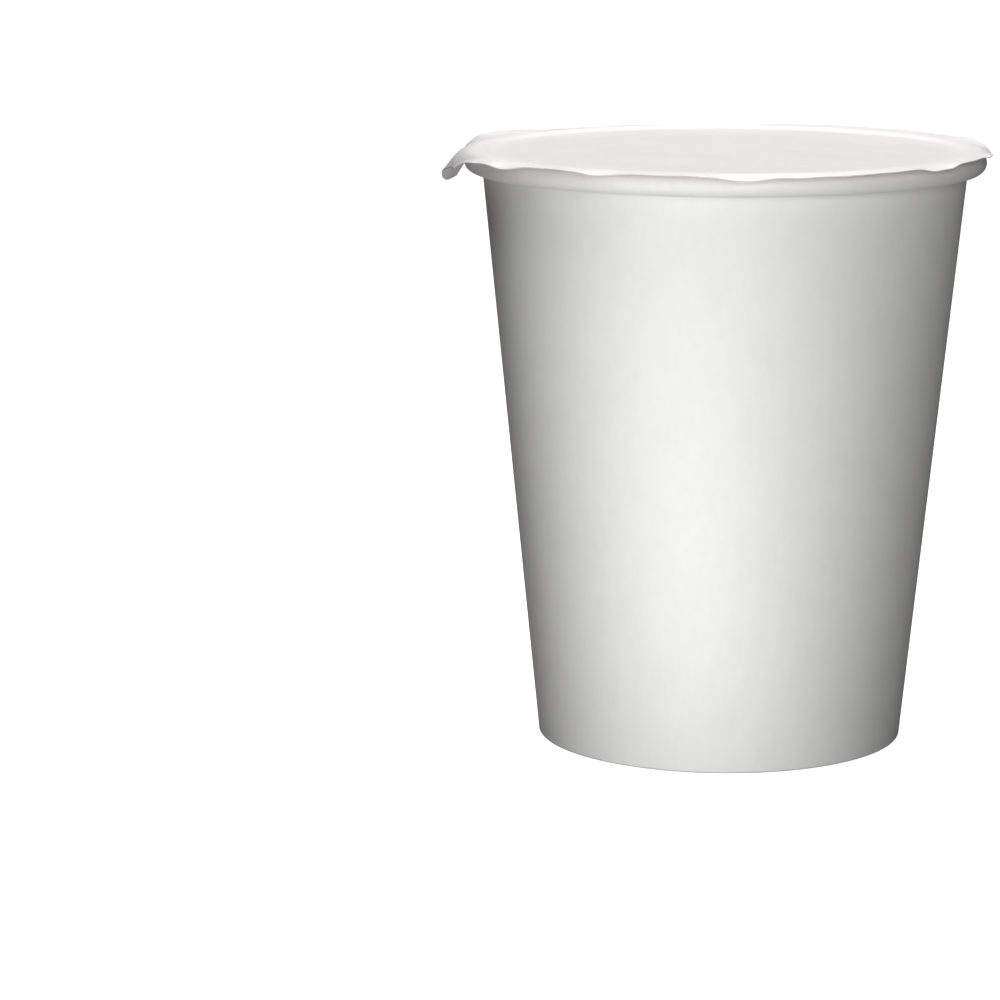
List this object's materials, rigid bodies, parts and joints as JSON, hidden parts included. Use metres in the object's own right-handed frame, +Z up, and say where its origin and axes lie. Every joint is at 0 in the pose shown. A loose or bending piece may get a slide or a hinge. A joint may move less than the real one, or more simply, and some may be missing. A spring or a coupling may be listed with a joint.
{
  "type": "sealed paper treat cup",
  "caption": "Tapered paper cup with a rolled rim, shut by a flat membrane lid that ends in a bent pull tab.",
  "frame": {"origin": "cup's axis in the plane of the floor, under the middle of the foot ring", "axes": "+Z up along the cup's axis; the pull tab points along the -X +Y diagonal and the wall's side seam is at the azimuth of 65 degrees from +X"},
  "size_m": [0.0848, 0.0848, 0.0922],
  "materials": {
    "cup_paper": "smooth white coated cup paper, semi-matt",
    "base_paper": "uncoated white cup paper, matt",
    "lid_film": "white sealed membrane, satin, slightly crinkled"
  },
  "bodies": {
    "root": {"cup_body": "cup_paper", "base_disc": "base_paper", "lid_membrane": "lid_film"}
  },
  "joints": []
}
